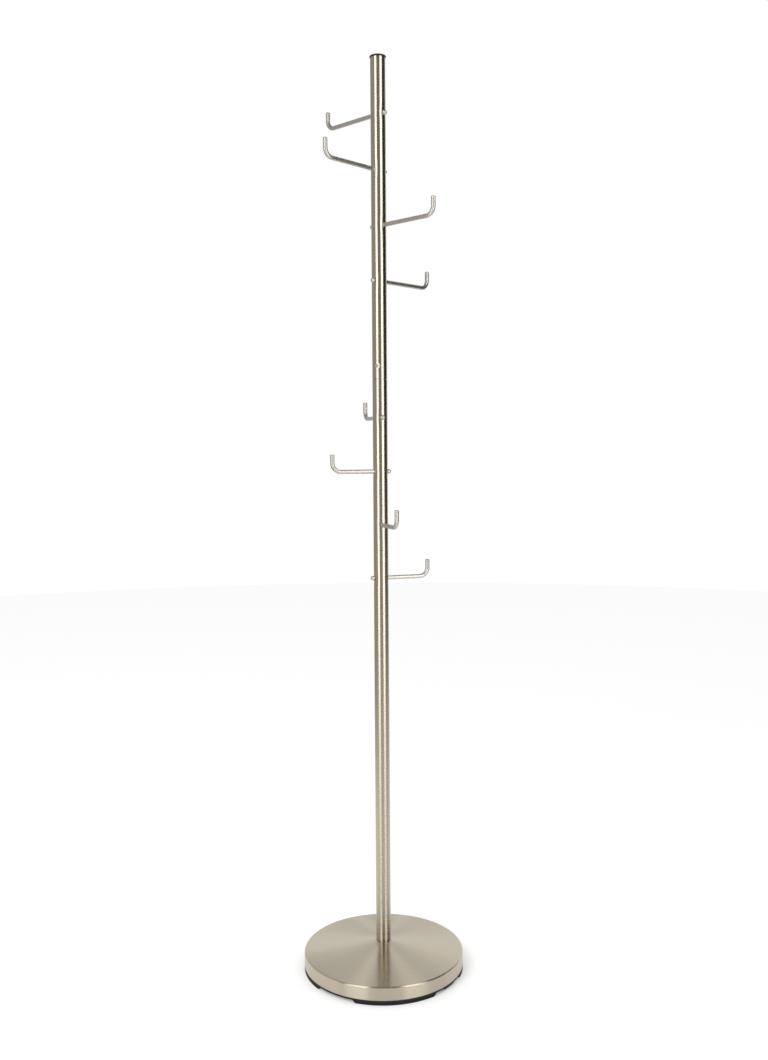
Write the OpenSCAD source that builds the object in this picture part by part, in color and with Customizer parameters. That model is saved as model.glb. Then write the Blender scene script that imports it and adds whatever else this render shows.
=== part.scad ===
// Standing coat rack: a two-piece tubular pole on a round weighted base, with eight J-shaped rod
// hooks that wind round it. Four long hooks are on the upper tube and four short ones on the lower.
// Millimetres, +Z up. The origin is on the pole's axis, on the floor.
// A direction round the pole is an angle from the front (-Y), growing towards the right (+X).

/* [Pole] */
// Outside diameter of both tubes
pole_d = 28; // [22:0.5:36]
// Wall of both tubes
pole_wall = 1.2; // [0.8:0.1:2]
// Length of the upper tube
upper_tube_l = 580; // [480:1:800]
// Length of the lower tube
lower_tube_l = 1072; // [800:1:1400]
// Chamfer round the outside of each tube's ends
tube_chamfer = 0.4; // [0.2:0.1:0.6]

/* [Hooks] */
// Diameter of the hooks' rod
rod_d = 8; // [6:0.5:9]
// Pole axis to the middle of the tip, on the upper tube's hooks
upper_reach = 133; // [80:1:180]
// Pole axis to the middle of the tip, on the lower tube's hooks
lower_reach = 93; // [70:1:150]
// Radius of the bend, at the middle of the rod
bend_r = 16; // [12:0.5:24]
// Straight length of the tip above the bend
tip_l = 16; // [8:0.5:30]
// Chamfer round the tip's end
tip_chamfer = 0.8; // [0.3:0.1:1.5]
// Height from each hook to the next
hook_pitch = 100; // [60:1:120]
// Turn round the pole from each hook to the next below it
hook_turn = 90; // [30:5:120]
// Top of the upper tube to its first hook
upper_hook_drop = 100; // [40:1:150]
// Top of the lower tube to its first hook
lower_hook_drop = 71; // [60:1:150]
// Direction of the upper tube's first hook
upper_hook_angle = 226; // [0:1:359]
// Direction of the lower tube's first hook
lower_hook_angle = 198; // [0:1:359]

/* [Hook nuts] */
// Diameter of the thread on the hooks' reduced end
hook_thread_d = 5; // [4:0.5:5]
// Diameter of the domed nuts
nut_d = 8.8; // [8:0.1:12]
// Straight skirt of the domed nuts, below the dome
nut_skirt = 2.3; // [1.5:0.1:5]
// Length of thread inside the domed nuts
nut_thread_l = 4.2; // [3:0.1:5]

/* [Pole joiner] */
// Diameter of the joiner's stud
stud_d = 12; // [8:0.5:14]
// Length of the stud inside the upper insert
stud_up = 22; // [15:1:30]
// Length of the stud inside the lower insert
stud_down = 28; // [20:1:30]
// Length of the two inserts at the joiner
insert_l = 36; // [32:1:60]
// Length of the insert in the pole's foot
foot_insert_l = 30; // [24:1:60]
// Radius of the round punch that crimps the tubes onto the inserts
crimp_r = 9; // [6:0.5:12]
// Depth of each crimp
crimp_depth = 1.2; // [0.6:0.1:1.6]
// End of each tube to its crimp
crimp_from_end = 24; // [12:1:28]
// Direction of the upper tube's crimp
upper_crimp_angle = 346; // [0:1:359]
// Direction of the crimps at both ends of the lower tube
lower_crimp_angle = 170; // [0:1:359]

/* [Top cap] */
// How far the cap's lip stands out from the tube
cap_overhang = 1.3; // [0.5:0.1:3]
// Thickness of the lip
cap_lip = 3.2; // [2:0.1:6]
// Depth of the plug inside the tube
cap_plug_l = 15; // [8:0.5:25]
// Wall of the plug
cap_wall = 1.6; // [1:0.1:2.5]

/* [Base] */
// Outside diameter of the base
base_d = 305; // [260:1:380]
// Height of the pole's seat, at the top of the cone
seat_z = 53; // [48:0.5:70]
// Height of the cone where it would meet the side band
rim_z = 34; // [30:0.5:42]
// Height of the side band's lower edge
band_z = 9; // [8.4:0.1:12]
// Sheet thickness of the cover
cover_t = 0.8; // [0.6:0.1:1.5]
// Radius of the cover's edge
edge_r = 3; // [2:0.1:6]
// Height of the foot pads
pad_h = 5.4; // [4:0.1:6]
// Width of the foot pads, across the rim
pad_w = 14; // [12:0.5:24]
// Sweep of each foot pad, in degrees
pad_sweep = 61; // [30:1:80]
// Direction of the first foot pad's middle
pad_angle = 8.5; // [0:0.5:89]
// Sweep of the small lug under the tray, in degrees
lug_sweep = 12; // [5:1:20]
// Direction of the lug's middle
lug_angle = 53; // [45:1:60]
// Height of the lug
lug_h = 2; // [1:0.1:3]

/* [Weight and its fasteners] */
// Thickness of the weight's plate
plate_h = 8; // [6:0.1:12]
// Diameter of the weight's hub
hub_d = 56; // [46:1:90]
// Thickness of the weight's ribs
rib_t = 5; // [4:0.5:12]
// Number of ribs
ribs = 6; // [3:1:12]
// Diameter of the central bolt
bolt_d = 10; // [8:1:12]
// Length of the central bolt, under its head
bolt_l = 60; // [50:1:72]
// Depth of the bolt's pocket in the weight
pocket_depth = 14.4; // [12:0.1:20]
// Height of the bolt's head
bolt_head_h = 6.4; // [5:0.1:7]
// Width of the bolt's head across its flats
bolt_flats = 17; // [13:0.5:19]
// Thickness of the tray's floor
tray_floor = 2.2; // [1.8:0.1:4]
// Circle of the four tray screws, as a radius
screw_circle_r = 70; // [60:1:100]
// Diameter of the tray screws
screw_d = 3.8; // [3:0.1:5]

/* [Clearances] */
// Round the rod, the threads and the bolts, where they pass through a hole
hole_gap = 0.1; // [0.05:0.05:0.3]
// Round the inserts, in the tubes, and between thread and nut
fit_gap = 0.05; // [0.03:0.01:0.08]
// Between the cover and the pieces inside it
cover_gap = 0.3; // [0.2:0.1:1]

/* [Hidden] */
$fn = 96;

// Overlap that a cutting tool has past the face it cuts
cut = 1;

NICKEL = "#bdb4a4";
BRIGHT = "#cfcac0";
ZINC = "#a9adb0";
IRON = "#3b3a38";
BLACK = "#1d1b19";
RUBBER = "#121212";

// Pole
pole_r = pole_d / 2;
bore_r = pole_r - pole_wall;
seam_z = seat_z + lower_tube_l;
tube_top_z = seam_z + upper_tube_l;
insert_r = bore_r - fit_gap;
stud_r = stud_d / 2;

// Hooks: four on each tube
HOOKS_EACH = 4;
rod_r = rod_d / 2;
thread_r = hook_thread_d / 2;
nut_r = nut_d / 2;
// The rod's shoulder bears on the far wall from inside, at the two sides of the rod
shoulder_x = sqrt(bore_r * bore_r - rod_r * rod_r) - fit_gap;
nut_seat_x = pole_r + fit_gap;
upper_first_z = tube_top_z - upper_hook_drop;
lower_first_z = seam_z - lower_hook_drop;

// Base
base_r = base_d / 2;
// The cover is flat under the pole, and a little past it
flat_r = pole_r + cut;
cone_slope = atan((seat_z - rim_z) / (base_r - flat_r));
edge_centre_r = base_r - edge_r;
edge_centre_z = seat_z - (edge_centre_r - flat_r) * tan(cone_slope) - edge_r / cos(cone_slope);
tray_top_z = pad_h + tray_floor;
tray_wall_r = base_r - cover_t - cover_gap;
tray_wall_t = 2;
tray_wall_top_z = band_z + 7;
weight_r = tray_wall_r - tray_wall_t - cover_gap;
weight_rim_t = 6;
boss_r = pole_r - cut;
boss_top_z = seat_z - cover_t;
// The bolt's head and its washers sit in a pocket under the hub
bolt_r = bolt_d / 2;
spring_washer_h = 2.5;
spring_washer_r = bolt_r + 3.6;
flat_washer_h = 2;
flat_washer_r = bolt_r + 5;
pocket_top_z = tray_top_z + pocket_depth;
spring_top_z = pocket_top_z - flat_washer_h;
head_top_z = spring_top_z - spring_washer_h;
pocket_r = bolt_flats / 2 / cos(30) + 5;
// Tray screws
screw_r = screw_d / 2;
screw_head_r = 4;
screw_head_h = 2.4;
screw_l = 10;
SCREWS = 4;
// Foot pads
PADS = 4;
peg_r = 3;
peg_h = 2;
// The pegs stand this far to each side of a pad's middle
peg_turn = pad_sweep / 3;
peg_circle_r = base_r - pad_w / 2 - 1;
wrench_hole_r = pocket_r + 3;
lug_inset = 0.5;

// Direction and height of hook i, counted from 1 at the top
function hook_angle(i) = i <= HOOKS_EACH
    ? upper_hook_angle + (i - 1) * hook_turn
    : lower_hook_angle + (i - 1 - HOOKS_EACH) * hook_turn;
function hook_z(i) = i <= HOOKS_EACH
    ? upper_first_z - (i - 1) * hook_pitch
    : lower_first_z - (i - 1 - HOOKS_EACH) * hook_pitch;
function hook_reach(i) = i <= HOOKS_EACH ? upper_reach : lower_reach;

// Turns +X to face a direction round the pole
module facing(angle) {
    rotate([0, 0, angle - 90]) children();
}

// Puts a hook's own frame, X outwards and Z up from its rod, on the pole
module at_hook(i) {
    translate([0, 0, hook_z(i)]) facing(hook_angle(i)) children();
}

// A ring of rectangular section
module ring(r_in, r_out, z_low, z_high) {
    difference() {
        translate([0, 0, z_low]) cylinder(r = r_out, h = z_high - z_low);
        translate([0, 0, z_low - cut]) cylinder(r = r_in, h = z_high - z_low + 2 * cut);
    }
}

// ---- Pole ----

// The crimping punch: a ball pushed into the tube, grown by the wall on the tube's inner side
module punch(z, angle, grown) {
    translate([0, 0, z]) facing(angle)
        translate([pole_r - crimp_depth + crimp_r, 0, 0]) sphere(r = crimp_r + grown);
}

// The tube before it is drilled and crimped, with chamfered ends
module bare_tube(z_low, z_high) {
    c = tube_chamfer;
    rotate_extrude() polygon([
        [0, z_low], [pole_r - c, z_low], [pole_r, z_low + c],
        [pole_r, z_high - c], [pole_r - c, z_high], [0, z_high]
    ]);
}

// A tube from z_low to z_high with hooks first..last through it, and crimps at crimp_zs
module pole_tube(z_low, z_high, first, last, crimp_zs, crimp_angle) {
    difference() {
        bare_tube(z_low, z_high);
        for (z = crimp_zs) punch(z, crimp_angle, 0);
        difference() {
            translate([0, 0, z_low - cut]) cylinder(r = bore_r, h = z_high - z_low + 2 * cut);
            for (z = crimp_zs) punch(z, crimp_angle, pole_wall);
        }
        for (i = [first:last]) at_hook(i) {
            rotate([0, 90, 0]) cylinder(r = rod_r + hole_gap, h = pole_r + cut);
            rotate([0, -90, 0]) cylinder(r = thread_r + hole_gap, h = pole_r + cut);
        }
    }
}

module upper_tube() {
    color(NICKEL)
        pole_tube(seam_z, tube_top_z, 1, HOOKS_EACH, [seam_z + crimp_from_end], upper_crimp_angle);
}

module lower_tube() {
    color(NICKEL)
        pole_tube(seat_z, seam_z, HOOKS_EACH + 1, 2 * HOOKS_EACH,
            [seat_z + crimp_from_end, seam_z - crimp_from_end], lower_crimp_angle);
}

// A plug that fills a tube from z_low to z_high, with a pit where the tube is crimped into it
module insert_plug(z_low, z_high, crimp_z, crimp_angle) {
    difference() {
        translate([0, 0, z_low]) cylinder(r = insert_r, h = z_high - z_low);
        punch(crimp_z, crimp_angle, pole_wall + fit_gap);
    }
}

module upper_insert() {
    color(ZINC) difference() {
        insert_plug(seam_z, seam_z + insert_l, seam_z + crimp_from_end, upper_crimp_angle);
        translate([0, 0, seam_z - cut]) cylinder(r = stud_r + fit_gap, h = stud_up + 2 * cut);
    }
}

module lower_insert() {
    color(ZINC) difference() {
        insert_plug(seam_z - insert_l, seam_z, seam_z - crimp_from_end, lower_crimp_angle);
        translate([0, 0, seam_z - stud_down]) cylinder(r = stud_r + fit_gap, h = stud_down + cut);
    }
}

// The stud that both tubes screw onto, chamfered at its ends
module joiner_stud() {
    c = 1;
    color(ZINC) rotate_extrude() polygon([
        [0, seam_z - stud_down], [stud_r - c, seam_z - stud_down],
        [stud_r, seam_z - stud_down + c], [stud_r, seam_z + stud_up - c],
        [stud_r - c, seam_z + stud_up], [0, seam_z + stud_up]
    ]);
}

module foot_insert() {
    color(ZINC) difference() {
        insert_plug(seat_z, seat_z + foot_insert_l, seat_z + crimp_from_end, lower_crimp_angle);
        translate([0, 0, seat_z - cut])
            cylinder(r = bolt_r + fit_gap, h = foot_insert_l + 2 * cut);
    }
}

// Mushroom cap: a lip with rounded edges on a hollow plug with two grip rings
module top_cap() {
    lip_r = pole_r + cap_overhang;
    round_r = cap_lip / 2;
    plug_r = bore_r - 2 * hole_gap;
    color(BLACK) rotate_extrude() {
        translate([0, tube_top_z]) square([lip_r - round_r, cap_lip]);
        translate([lip_r - round_r, tube_top_z + round_r]) circle(r = round_r);
        translate([plug_r - cap_wall, tube_top_z - cap_plug_l])
            square([cap_wall, cap_plug_l + round_r]);
        for (k = [1:2])
            translate([plug_r - cap_wall, tube_top_z - k * cap_plug_l / 3])
                square([cap_wall + 2 * hole_gap - fit_gap, 1.5]);
    }
}

// ---- Hooks ----

// A bent rod. Its reduced, threaded end goes through the pole's far wall into a domed nut.
module hook(i) {
    bend_x = hook_reach(i) - bend_r;
    thread_end_x = nut_seat_x + nut_thread_l;
    color(BRIGHT) at_hook(i) {
        translate([bend_x, 0, 0]) rotate([0, -90, 0])
            cylinder(r = rod_r, h = bend_x + shoulder_x);
        translate([cut - shoulder_x, 0, 0]) rotate([0, -90, 0])
            cylinder(r = thread_r, h = thread_end_x - shoulder_x + cut);
        translate([bend_x, 0, bend_r]) rotate([90, 0, 0]) rotate([0, 0, -90])
            rotate_extrude(angle = 90) translate([bend_r, 0]) circle(r = rod_r);
        translate([bend_x + bend_r, 0, bend_r]) {
            cylinder(r = rod_r, h = tip_l - tip_chamfer);
            translate([0, 0, tip_l - tip_chamfer])
                cylinder(r1 = rod_r, r2 = rod_r - tip_chamfer, h = tip_chamfer);
        }
    }
}

module cap_nut(i) {
    color(BRIGHT) at_hook(i) translate([-nut_seat_x, 0, 0]) rotate([0, -90, 0]) difference() {
        union() {
            cylinder(r = nut_r, h = nut_skirt);
            translate([0, 0, nut_skirt]) intersection() {
                sphere(r = nut_r);
                cylinder(r = nut_r + cut, h = nut_r + cut);
            }
        }
        translate([0, 0, -cut])
            cylinder(r = thread_r + fit_gap, h = nut_thread_l + 3 * fit_gap + cut);
    }
}

// ---- Base ----

// The base's outline from its axis outwards, moved inwards by inset from the cover's outside
module base_outline(inset) {
    r = edge_r - inset;
    top_z = seat_z - inset;
    top_r = flat_r - inset * tan(cone_slope / 2);
    polygon([
        [0, band_z - cut], [edge_centre_r + r, band_z - cut], [edge_centre_r + r, edge_centre_z],
        [edge_centre_r, edge_centre_z],
        [edge_centre_r + r * sin(cone_slope), edge_centre_z + r * cos(cone_slope)],
        [top_r, top_z], [0, top_z]
    ]);
    translate([edge_centre_r, edge_centre_z]) circle(r = r);
}

// Spun sheet cover: a flat seat, a shallow cone, a rounded edge and a plain side band
module base_cover() {
    color(NICKEL) difference() {
        rotate_extrude() difference() {
            base_outline(0);
            base_outline(cover_t);
            translate([0, band_z - 2 * cut]) square([base_r + cut, 2 * cut]);
        }
        translate([0, 0, seat_z - cover_t - cut])
            cylinder(r = bolt_r + hole_gap, h = cover_t + 2 * cut);
    }
}

// Cast weight: a plate with a rim, ribs and a hub that carries the pole's seat
module base_weight() {
    color(IRON) difference() {
        union() {
            translate([0, 0, tray_top_z]) cylinder(r = weight_r, h = plate_h);
            intersection() {
                rotate_extrude() base_outline(cover_t + cover_gap);
                union() {
                    ring(weight_r - weight_rim_t, weight_r, tray_top_z, seat_z);
                    for (k = [0:ribs - 1]) rotate([0, 0, k * 360 / ribs])
                        translate([0, -rib_t / 2, tray_top_z])
                            cube([weight_r - weight_rim_t / 2, rib_t, seat_z - tray_top_z]);
                    translate([0, 0, tray_top_z])
                        cylinder(r = hub_d / 2, h = seat_z - tray_top_z);
                }
            }
            translate([0, 0, tray_top_z]) cylinder(r = boss_r, h = boss_top_z - tray_top_z);
        }
        translate([0, 0, tray_top_z - cut])
            cylinder(r = pocket_r, h = pocket_top_z - tray_top_z + cut);
        translate([0, 0, pocket_top_z - cut])
            cylinder(r = bolt_r + hole_gap, h = seat_z - pocket_top_z + cut);
        at_screws() translate([0, 0, tray_top_z - cut])
            cylinder(r = screw_r + fit_gap, h = plate_h + 2 * cut);
    }
}

module base_bolt() {
    color(ZINC) {
        translate([0, 0, head_top_z - bolt_head_h])
            cylinder(d = bolt_flats / cos(30), h = bolt_head_h, $fn = 6);
        translate([0, 0, head_top_z - cut]) cylinder(r = bolt_r, h = bolt_l + cut);
    }
}

module spring_washer() {
    color(ZINC) difference() {
        ring(bolt_r + hole_gap, spring_washer_r, head_top_z, spring_top_z);
        rotate([0, 0, 30]) translate([0, -0.6, head_top_z - cut])
            cube([spring_washer_r + cut, 1.2, spring_washer_h + 2 * cut]);
    }
}

module flat_washer() {
    color(ZINC) ring(bolt_r + hole_gap, flat_washer_r, spring_top_z, pocket_top_z);
}

// Places its children on the tray screws' circle, between the weight's ribs
module at_screws() {
    for (k = [0:SCREWS - 1]) rotate([0, 0, 45 + k * 360 / SCREWS])
        translate([screw_circle_r, 0, 0]) children();
}

module at_pegs(pad) {
    for (side = [-1, 1]) facing(pad_angle + (pad - 1) * 360 / PADS + side * peg_turn)
        translate([peg_circle_r, 0, 0]) children();
}

// A stretch of ring under the base, seen as an angle each side of a direction
module arc_block(angle, sweep, r_in, r_out, z_low, z_high) {
    facing(angle - sweep / 2) rotate_extrude(angle = sweep)
        translate([r_in, z_low]) square([r_out - r_in, z_high - z_low]);
}

// Moulded tray that closes the base: a floor, a lip under the cover's band and a wall inside it
module base_tray() {
    color(BLACK) difference() {
        union() {
            rotate_extrude() polygon([
                [wrench_hole_r, pad_h], [base_r, pad_h], [base_r, band_z], [tray_wall_r, band_z],
                [tray_wall_r, tray_wall_top_z], [tray_wall_r - tray_wall_t, tray_wall_top_z],
                [tray_wall_r - tray_wall_t, tray_top_z], [wrench_hole_r, tray_top_z]
            ]);
            arc_block(lug_angle, lug_sweep, base_r - pad_w / 2, base_r - lug_inset,
                pad_h - lug_h, pad_h + tray_floor / 2);
        }
        at_screws() translate([0, 0, pad_h - cut])
            cylinder(r = screw_r + hole_gap, h = tray_floor + 2 * cut);
        for (pad = [1:PADS]) at_pegs(pad) translate([0, 0, pad_h - cut])
            cylinder(r = peg_r + hole_gap, h = tray_floor + 2 * cut);
    }
}

// Pan-head screws that hold the tray to the weight
module tray_screws() {
    color(ZINC) at_screws() {
        translate([0, 0, pad_h - screw_head_h]) cylinder(r = screw_head_r, h = screw_head_h);
        translate([0, 0, pad_h - cut]) cylinder(r = screw_r, h = screw_l + cut);
    }
}

// A curved pad with slanted ends, and two pegs that push into the tray
module foot_pad(pad) {
    middle = pad_angle + (pad - 1) * 360 / PADS;
    color(RUBBER) {
        difference() {
            arc_block(middle, pad_sweep, base_r - pad_w, base_r, 0, pad_h);
            for (side = [-1, 1]) facing(middle + side * pad_sweep / 2)
                translate([base_r - pad_w - cut, 0, pad_h]) rotate([side * 45, 0, 0])
                    translate([0, side > 0 ? 0 : -2 * pad_h, -2 * pad_h])
                        cube([pad_w + 3 * cut, 2 * pad_h, 2 * pad_h]);
        }
        at_pegs(pad) translate([0, 0, pad_h - cut]) cylinder(r = peg_r, h = peg_h + cut);
    }
}

top_cap();
upper_tube();
upper_insert();
hook(1);  // hook_1
hook(2);  // hook_2
hook(3);  // hook_3
hook(4);  // hook_4
cap_nut(1);  // cap_nut_1
cap_nut(2);  // cap_nut_2
cap_nut(3);  // cap_nut_3
cap_nut(4);  // cap_nut_4
joiner_stud();
lower_insert();
lower_tube();
hook(5);  // hook_5
hook(6);  // hook_6
hook(7);  // hook_7
hook(8);  // hook_8
cap_nut(5);  // cap_nut_5
cap_nut(6);  // cap_nut_6
cap_nut(7);  // cap_nut_7
cap_nut(8);  // cap_nut_8
foot_insert();
base_cover();
base_weight();
base_bolt();
spring_washer();
flat_washer();
base_tray();
tray_screws();
foot_pad(1);  // foot_pad_1
foot_pad(2);  // foot_pad_2
foot_pad(3);  // foot_pad_3
foot_pad(4);  // foot_pad_4
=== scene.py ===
# %% [markdown]
# # A standing coat rack
# A tube in two lengths stands on a round, weighted base, and eight bent rods wind round it. Each rod
# goes right through the tube and is held on the far side by a small domed nut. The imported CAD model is
# the fixed frame: it says where every piece is. This file gives each piece its finished shape and its
# finish, so each size below is read from the frame or is a small detail that only the eye needs.

# %% Load the frame
import math

import bmesh
import bpy
from mathutils import Matrix, Vector


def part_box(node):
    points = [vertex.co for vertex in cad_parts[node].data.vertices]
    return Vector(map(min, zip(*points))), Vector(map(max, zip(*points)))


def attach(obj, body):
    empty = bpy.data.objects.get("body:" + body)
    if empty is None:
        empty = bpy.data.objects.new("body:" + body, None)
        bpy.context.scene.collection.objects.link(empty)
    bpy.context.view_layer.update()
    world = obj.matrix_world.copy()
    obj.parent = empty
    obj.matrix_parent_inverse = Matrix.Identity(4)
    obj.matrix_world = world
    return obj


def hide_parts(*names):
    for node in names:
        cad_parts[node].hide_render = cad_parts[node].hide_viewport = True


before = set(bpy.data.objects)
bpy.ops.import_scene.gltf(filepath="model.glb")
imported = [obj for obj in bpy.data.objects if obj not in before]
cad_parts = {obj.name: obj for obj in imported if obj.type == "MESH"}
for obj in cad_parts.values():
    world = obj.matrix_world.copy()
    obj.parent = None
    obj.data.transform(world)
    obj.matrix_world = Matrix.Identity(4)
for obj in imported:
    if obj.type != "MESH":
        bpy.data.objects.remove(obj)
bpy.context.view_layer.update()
MM = 0.001

# %% [markdown]
# ## Reading sizes from the frame
# A finished piece has to sit where the CAD piece sits. The corners of a node's box give the heights
# and radii of everything that is round about the pole's axis. A hook's direction isn't in its box, but
# the flat end of its tip is the highest face it has, and the middle of that face gives both the
# direction and the reach.

# %% Sizes of the pole and the base
TUBE_WALL = 1.2 * MM
SEAT_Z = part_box("lower_tube")[0].z
SEAM_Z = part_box("lower_tube")[1].z
TOP_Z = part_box("upper_tube")[1].z
POLE_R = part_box("upper_tube")[1].x
BORE_R = POLE_R - TUBE_WALL
BASE_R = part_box("base_cover")[1].x
BAND_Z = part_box("base_cover")[0].z
PEG_H = 2 * MM
PAD_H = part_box("foot_pad_1")[1].z - PEG_H
print("pole radius", POLE_R, "seam", SEAM_Z, "top", TOP_Z, "base radius", BASE_R, "pads", PAD_H)


# %% Where the hooks are
def middle_z(node):
    """The height of a node's middle."""
    low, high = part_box(node)
    return (low.z + high.z) / 2


def tip_middle(node):
    """The middle of the flat end of a hook's tip."""
    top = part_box(node)[1].z
    rim = [v.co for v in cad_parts[node].data.vertices if v.co.z > top - 0.01 * MM]
    xs, ys = [p.x for p in rim], [p.y for p in rim]
    return Vector(((min(xs) + max(xs)) / 2, (min(ys) + max(ys)) / 2, top))


def helix_of(number):
    """The rule of four hooks, read from the first two of them."""
    first, second = tip_middle(f"hook_{number}"), tip_middle(f"hook_{number + 1}")
    first_turn = math.atan2(first.y, first.x)
    return {
        "First height": middle_z(f"cap_nut_{number}"),
        "Pitch": middle_z(f"cap_nut_{number}") - middle_z(f"cap_nut_{number + 1}"),
        "First direction": first_turn,
        "Turn": (math.atan2(second.y, second.x) - first_turn) % math.tau,
        "Reach": first.xy.length,
    }


HOOKS_EACH = 4
UPPER = helix_of(1)
LOWER = helix_of(HOOKS_EACH + 1)
ROD_R = UPPER["First height"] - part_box("hook_1")[0].z
TIP_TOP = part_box("hook_1")[1].z - UPPER["First height"]
NUT_R = (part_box("cap_nut_1")[1].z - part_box("cap_nut_1")[0].z) / 2
print("upper hooks", UPPER)
print("lower hooks", LOWER)

# %% [markdown]
# ## Materials: how a brushed metal is made
# Satin nickel is a bright plating over metal that was rubbed with a fine abrasive. The rubbing leaves
# hair-thin grooves, and grooves spread a reflection across themselves but keep it sharp along
# themselves. The Principled shader does this with its Anisotropic value and a tangent. Tubes and spun
# sheet are rubbed as they turn, so their grooves run round the axis, and Blender's radial tangent
# round Z follows them. On the tube this draws long upright streaks of light, and on the cone it draws
# a fan. The colour, the roughness and a very shallow bump are broken up by noise that is stretched
# along the grooves. Constants go straight on the shader, and only colour, roughness and bump vary.


# %% Helpers that build a material
def new_material(name):
    """An empty node material with its output, as (material, tree, shader)."""
    material = bpy.data.materials.new(name)
    material.use_nodes = True
    tree = material.node_tree
    return material, tree, tree.nodes["Principled BSDF"]


def add(tree, kind, **settings):
    """A node with its settings; a name that starts with in_ sets the input of that name."""
    node = tree.nodes.new(kind)
    for key, value in settings.items():
        if key.startswith("in_"):
            node.inputs[key[3:].replace("_", " ")].default_value = value
        else:
            setattr(node, key, value)
    return node


def stretched(tree, scale):
    """Object coordinates, multiplied along each axis."""
    place = add(tree, "ShaderNodeTexCoord")
    mapping = add(tree, "ShaderNodeMapping", in_Scale=scale)
    tree.links.new(place.outputs["Object"], mapping.inputs["Vector"])
    return mapping.outputs["Vector"]


def ringed(tree, across, along):
    """Coordinates that change fast with the distance from the axis and slowly round it."""
    place = add(tree, "ShaderNodeTexCoord")
    flat = add(tree, "ShaderNodeVectorMath", operation="MULTIPLY")
    flat.inputs[1].default_value = (1, 1, 0)
    length = add(tree, "ShaderNodeVectorMath", operation="LENGTH")
    split = add(tree, "ShaderNodeSeparateXYZ")
    join = add(tree, "ShaderNodeCombineXYZ")
    mapping = add(tree, "ShaderNodeMapping", in_Scale=(across, along, along))
    tree.links.new(place.outputs["Object"], flat.inputs[0])
    tree.links.new(flat.outputs["Vector"], length.inputs[0])
    tree.links.new(place.outputs["Object"], split.inputs[0])
    tree.links.new(length.outputs["Value"], join.inputs["X"])
    tree.links.new(split.outputs["X"], join.inputs["Y"])
    tree.links.new(split.outputs["Y"], join.inputs["Z"])
    tree.links.new(join.outputs["Vector"], mapping.inputs["Vector"])
    return mapping.outputs["Vector"]


def noise(tree, vector, scale=1.0, detail=3.0):
    """A noise value on those coordinates."""
    texture = add(tree, "ShaderNodeTexNoise", in_Scale=scale, in_Detail=detail)
    tree.links.new(vector, texture.inputs["Vector"])
    return texture.outputs["Fac"]


NOISE_LOW = 0.3
NOISE_HIGH = 0.7


def between(tree, value, low, high):
    """A noise value, whose usual range is spread from low to high."""
    spread = add(tree, "ShaderNodeMapRange", in_From_Min=NOISE_LOW, in_From_Max=NOISE_HIGH)
    spread.inputs["To Min"].default_value = low
    spread.inputs["To Max"].default_value = high
    tree.links.new(value, spread.inputs["Value"])
    return spread.outputs["Result"]


def two_tone(tree, value, dark, light):
    """A colour between dark and light, chosen by a noise value."""
    mix = add(tree, "ShaderNodeMix", data_type="RGBA")
    colours = [s for s in mix.inputs if s.type == "RGBA"]
    colours[0].default_value = (*dark, 1)
    colours[1].default_value = (*light, 1)
    tree.links.new(between(tree, value, 0, 1), mix.inputs["Factor"])
    return [s for s in mix.outputs if s.type == "RGBA"][0]


def bumped(tree, value, depth):
    """A bump of that depth in metres, from a noise value."""
    bump = add(tree, "ShaderNodeBump", in_Distance=depth)
    tree.links.new(value, bump.inputs["Height"])
    return bump.outputs["Normal"]


def finish_of(name, coordinates, dark, light, rough, depth, **constants):
    """A material whose colour, roughness and bump all follow one noise, and whose constants are set."""
    material, tree, shader = new_material(name)
    value = noise(tree, coordinates(tree))
    tree.links.new(two_tone(tree, value, dark, light), shader.inputs["Base Color"])
    tree.links.new(between(tree, value, *rough), shader.inputs["Roughness"])
    tree.links.new(bumped(tree, value, depth), shader.inputs["Normal"])
    for key, constant in constants.items():
        shader.inputs[key.replace("_", " ")].default_value = constant
    return material, tree, shader


# %% [markdown]
# The three nickel finishes are all a warm grey. The pole and the cover are brushed round the axis.
# The hooks are bent from drawn rod and tumbled before they are plated, so their finish is softer, a
# little cooler, and has no direction of its own.

# %% Nickel finishes
NICKEL_DARK = (0.525, 0.470, 0.370)
NICKEL_LIGHT = (0.555, 0.500, 0.395)
BRUSHED = 1.0
QUARTER_TURN = 0.25
GROOVE = 0.0005 * MM


def brushed_round(name, coordinates, rough):
    """Nickel with fine grooves that run round the axis."""
    material, tree, shader = finish_of(
        name, coordinates, NICKEL_DARK, NICKEL_LIGHT, rough, GROOVE, Metallic=1.0, Anisotropic=BRUSHED
    )
    tangent = add(tree, "ShaderNodeTangent", direction_type="RADIAL", axis="Z")
    tree.links.new(tangent.outputs["Tangent"], shader.inputs["Tangent"])
    shader.inputs["Anisotropic Rotation"].default_value = QUARTER_TURN
    return material


pole_nickel = brushed_round("pole_nickel", lambda t: stretched(t, (25, 25, 2500)), (0.26, 0.30))
cover_nickel = brushed_round("cover_nickel", lambda t: ringed(t, 2500, 12), (0.27, 0.31))
hook_nickel = finish_of(
    "hook_nickel", lambda t: stretched(t, (260, 260, 260)), (0.535, 0.505, 0.455), (0.565, 0.535, 0.485),
    (0.36, 0.42), 0.0005 * MM, Metallic=1.0,
)[0]
print("nickel:", pole_nickel.name, cover_nickel.name, hook_nickel.name)

# %% [markdown]
# The dark pieces are moulded or cast. The top cap and the tray are black plastic with a faint grain,
# the foot pads are rubber, the weight is rough cast iron, and the hidden fasteners and inserts are
# zinc-plated steel, whose plating is mottled with pale spangles.

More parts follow.
